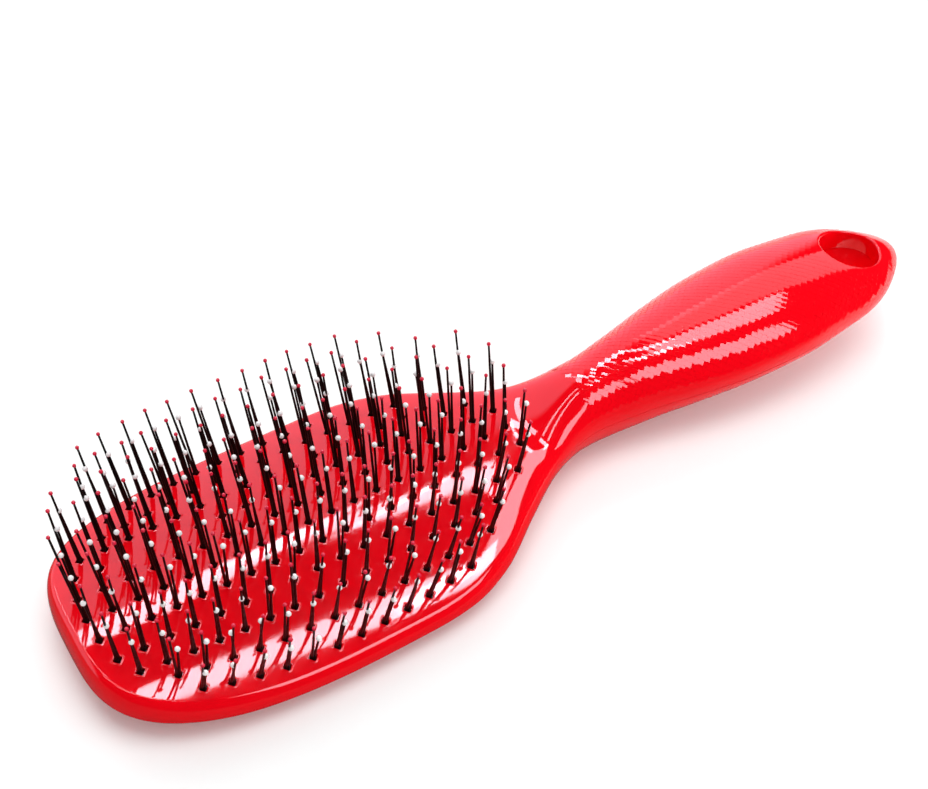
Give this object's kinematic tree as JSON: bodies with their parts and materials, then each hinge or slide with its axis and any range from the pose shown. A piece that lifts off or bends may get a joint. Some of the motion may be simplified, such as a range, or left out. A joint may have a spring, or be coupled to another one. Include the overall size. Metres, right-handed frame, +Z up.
{
  "type": "hair grooming brush",
  "caption": "Red gloss plastic hair brush lying on its back, with rows of paired black pins, long with red tips and short with white tips, and a waisted handle with an oval hang hole.",
  "frame": {"origin": "on the surface the brush lies on, under the middle of its length and width", "axes": "+X from the head's end to the handle's tip, +Y to the brush's left, +Z up out of the bristle face"},
  "size_m": [0.239, 0.0742, 0.0384],
  "materials": {
    "red_gloss_plastic": "gloss",
    "black_nylon": "satin",
    "grey_plastic": "matte",
    "red_bead": "gloss",
    "white_bead": "gloss"
  },
  "bodies": {
    "root": {"front_shell": "red_gloss_plastic", "back_shell": "red_gloss_plastic", "bristle_strip_01": "black_nylon", "bristle_strip_02": "black_nylon", "bristle_strip_03": "black_nylon", "bristle_strip_04": "black_nylon", "bristle_strip_05": "black_nylon", "bristle_strip_06": "black_nylon", "bristle_strip_07": "black_nylon", "bristle_strip_08": "black_nylon", "bristle_strip_09": "black_nylon", "bristle_strip_10": "black_nylon", "bristle_strip_11": "black_nylon", "backing_plate": "grey_plastic"}
  },
  "joints": []
}
